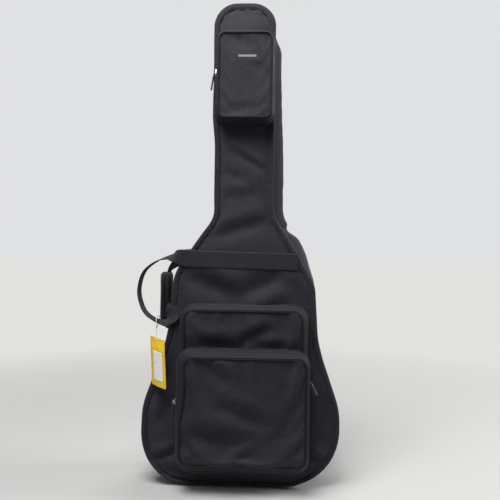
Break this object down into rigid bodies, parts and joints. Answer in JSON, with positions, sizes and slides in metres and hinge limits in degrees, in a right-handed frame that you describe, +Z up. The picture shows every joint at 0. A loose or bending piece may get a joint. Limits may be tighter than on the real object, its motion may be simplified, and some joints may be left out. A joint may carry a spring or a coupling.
{
  "type": "padded guitar gig bag",
  "caption": "Padded zip-up bag that stores and carries an acoustic guitar, with a hinged front half, zipped pockets, handle loops and shoulder straps.",
  "frame": {"origin": "on the floor, under the middle of the bag, on the base guard's lowest face", "axes": "+X to the right seen from the front, +Y to the back, +Z up the neck"},
  "size_m": [0.4583, 0.1984, 1.085],
  "materials": {
    "shell_cloth": "matt woven polyester, soft sheen",
    "pocket_cloth": "matt woven polyester, piped edges",
    "strap_cloth": "padded woven cloth",
    "lining_cloth": "smooth brushed lining",
    "padding": "closed-cell foam sheet",
    "webbing": "ribbed woven webbing",
    "binding_tape": "ribbed edge tape",
    "zip_coil": "satin nylon coil",
    "slider_metal": "nickel plated, satin",
    "pull_tab": "moulded tab",
    "pull_tab_grey": "moulded tab",
    "buckle": "moulded acetal",
    "guard_rubber": "moulded rubber",
    "patch_rubber": "soft rubber",
    "tag_card": "printed card, satin",
    "tag_sticker": "plain white label",
    "tag_cord": "clear cord"
  },
  "bodies": {
    "back_half": {"back_panel": "shell_cloth", "back_panel_foam": "padding", "back_panel_lining": "lining_cloth", "back_gusset": "shell_cloth", "back_gusset_foam": "padding", "back_gusset_lining": "lining_cloth", "back_binding": "binding_tape", "back_zip_tape": "binding_tape", "back_zip_coil": "zip_coil", "zip_hinge_strip": "shell_cloth", "base_guard": "guard_rubber", "back_band": "webbing", "strap_pad_left": "strap_cloth", "strap_pad_right": "strap_cloth", "strap_webbing": "webbing", "strap_ladder_locks": "buckle", "strap_anchor_patches": "strap_cloth", "hang_loop": "webbing"},
    "lid": {"front_panel": "shell_cloth", "front_panel_foam": "padding", "front_panel_lining": "lining_cloth", "front_gusset": "shell_cloth", "front_gusset_foam": "padding", "front_gusset_lining": "lining_cloth", "front_binding": "binding_tape", "front_zip_tape": "binding_tape", "front_zip_coil": "zip_coil", "front_band": "webbing", "head_pocket_gusset": "pocket_cloth", "head_pocket_face": "pocket_cloth", "head_pocket_zip": "zip_coil", "large_pocket_gusset": "pocket_cloth", "large_pocket_face": "pocket_cloth", "large_pocket_zip": "zip_coil", "small_pocket_gusset": "pocket_cloth", "small_pocket_face": "pocket_cloth", "small_pocket_zip": "zip_coil"},
    "head_flap": {"head_pocket_flap": "pocket_cloth", "head_pocket_flap_zip": "zip_coil", "head_pocket_patch": "patch_rubber"},
    "large_flap": {"large_pocket_flap": "pocket_cloth", "large_pocket_flap_zip": "zip_coil"},
    "small_flap": {"small_pocket_flap": "pocket_cloth", "small_pocket_flap_zip": "zip_coil"},
    "upper_slider": {"upper_main_slider": "slider_metal"},
    "upper_pull": {"upper_main_pull": "slider_metal"},
    "lower_slider": {"lower_main_slider": "slider_metal"},
    "lower_pull": {"lower_main_pull": "slider_metal"},
    "head_zip_slider": {"head_slider": "slider_metal"},
    "head_zip_pull": {"head_pull": "pull_tab"},
    "large_zip_slider": {"large_slider": "slider_metal"},
    "large_zip_pull": {"large_pull": "pull_tab_grey"},
    "small_zip_slider": {"small_slider": "slider_metal"},
    "small_zip_pull": {"small_pull": "pull_tab"},
    "front_loop": {"front_handle": "webbing"},
    "rear_loop": {"rear_handle": "webbing", "handle_wrap": "strap_cloth"},
    "hang_tag": {"tag_cord": "tag_cord", "tag_card": "tag_card", "tag_sticker": "tag_sticker"}
  },
  "joints": [
    {"name": "lid_hinge", "type": "hinge", "parent": "back_half", "child": "lid", "pos_m": [0.2135, -0.02, 0.14], "axis": [0, 0, 1], "range_deg": [0, 150]},
    {"name": "upper_main_slide", "type": "slide", "parent": "back_half", "child": "upper_slider", "axis": [0, 0, 1], "range_m": [0, 0.27]},
    {"name": "upper_pull_swing", "type": "hinge", "parent": "upper_slider", "child": "upper_pull", "pos_m": [-0.0648, -0.02, 0.742], "axis": [0, 1, 0], "range_deg": [0, 140]},
    {"name": "lower_main_slide", "type": "slide", "parent": "back_half", "child": "lower_slider", "axis": [0, 0, 1], "range_m": [-0.07, 0]},
    {"name": "lower_pull_swing", "type": "hinge", "parent": "lower_slider", "child": "lower_pull", "pos_m": [-0.0648, -0.02, 0.722], "axis": [0, 1, 0], "range_deg": [0, 140]},
    {"name": "head_flap_fold", "type": "hinge", "parent": "lid", "child": "head_flap", "pos_m": [0.003, -0.097, 0.913], "axis": [1, 0, 0], "range_deg": [0, 100]},
    {"name": "head_zip_slide", "type": "slide", "parent": "lid", "child": "head_zip_slider", "axis": [0, 0, 1], "range_m": [0, 0.055]},
    {"name": "head_pull_swing", "type": "hinge", "parent": "head_zip_slider", "child": "head_zip_pull", "pos_m": [-0.0658, -0.082, 0.922], "axis": [0, 1, 0], "range_deg": [0, 140]},
    {"name": "large_flap_fold", "type": "hinge", "parent": "lid", "child": "large_flap", "pos_m": [0.006, -0.09, 0.326], "axis": [1, 0, 0], "range_deg": [0, 85]},
    {"name": "large_zip_slide", "type": "slide", "parent": "lid", "child": "large_zip_slider", "axis": [0, 0, 1], "range_m": [0, 0.13]},
    {"name": "large_pull_swing", "type": "hinge", "parent": "large_zip_slider", "child": "large_zip_pull", "pos_m": [0.1528, -0.075, 0.244], "axis": [0, -1, 0], "range_deg": [0, 140]},
    {"name": "small_flap_fold", "type": "hinge", "parent": "lid", "child": "small_flap", "pos_m": [0.006, -0.124, 0.19], "axis": [1, 0, 0], "range_deg": [0, 100]},
    {"name": "small_zip_slide", "type": "slide", "parent": "lid", "child": "small_zip_slider", "axis": [0, 0, 1], "range_m": [0, 0.07]},
    {"name": "small_pull_swing", "type": "hinge", "parent": "small_zip_slider", "child": "small_zip_pull", "pos_m": [-0.1428, -0.106, 0.202], "axis": [0, 1, 0], "range_deg": [0, 140]},
    {"name": "front_loop_swing", "type": "hinge", "parent": "lid", "child": "front_loop", "pos_m": [-0.165, -0.064, 0.4395], "axis": [0, 0, 1], "range_deg": [0, 45]},
    {"name": "rear_loop_swing", "type": "hinge", "parent": "back_half", "child": "rear_loop", "pos_m": [-0.1635, 0.054, 0.42], "axis": [0, 0, -1], "range_deg": [0, 60]},
    {"name": "tag_swing", "type": "hinge", "parent": "front_loop", "child": "hang_tag", "pos_m": [-0.191, -0.0665, 0.375], "axis": [0, 1, 0], "range_deg": [-8, 25]}
  ]
}
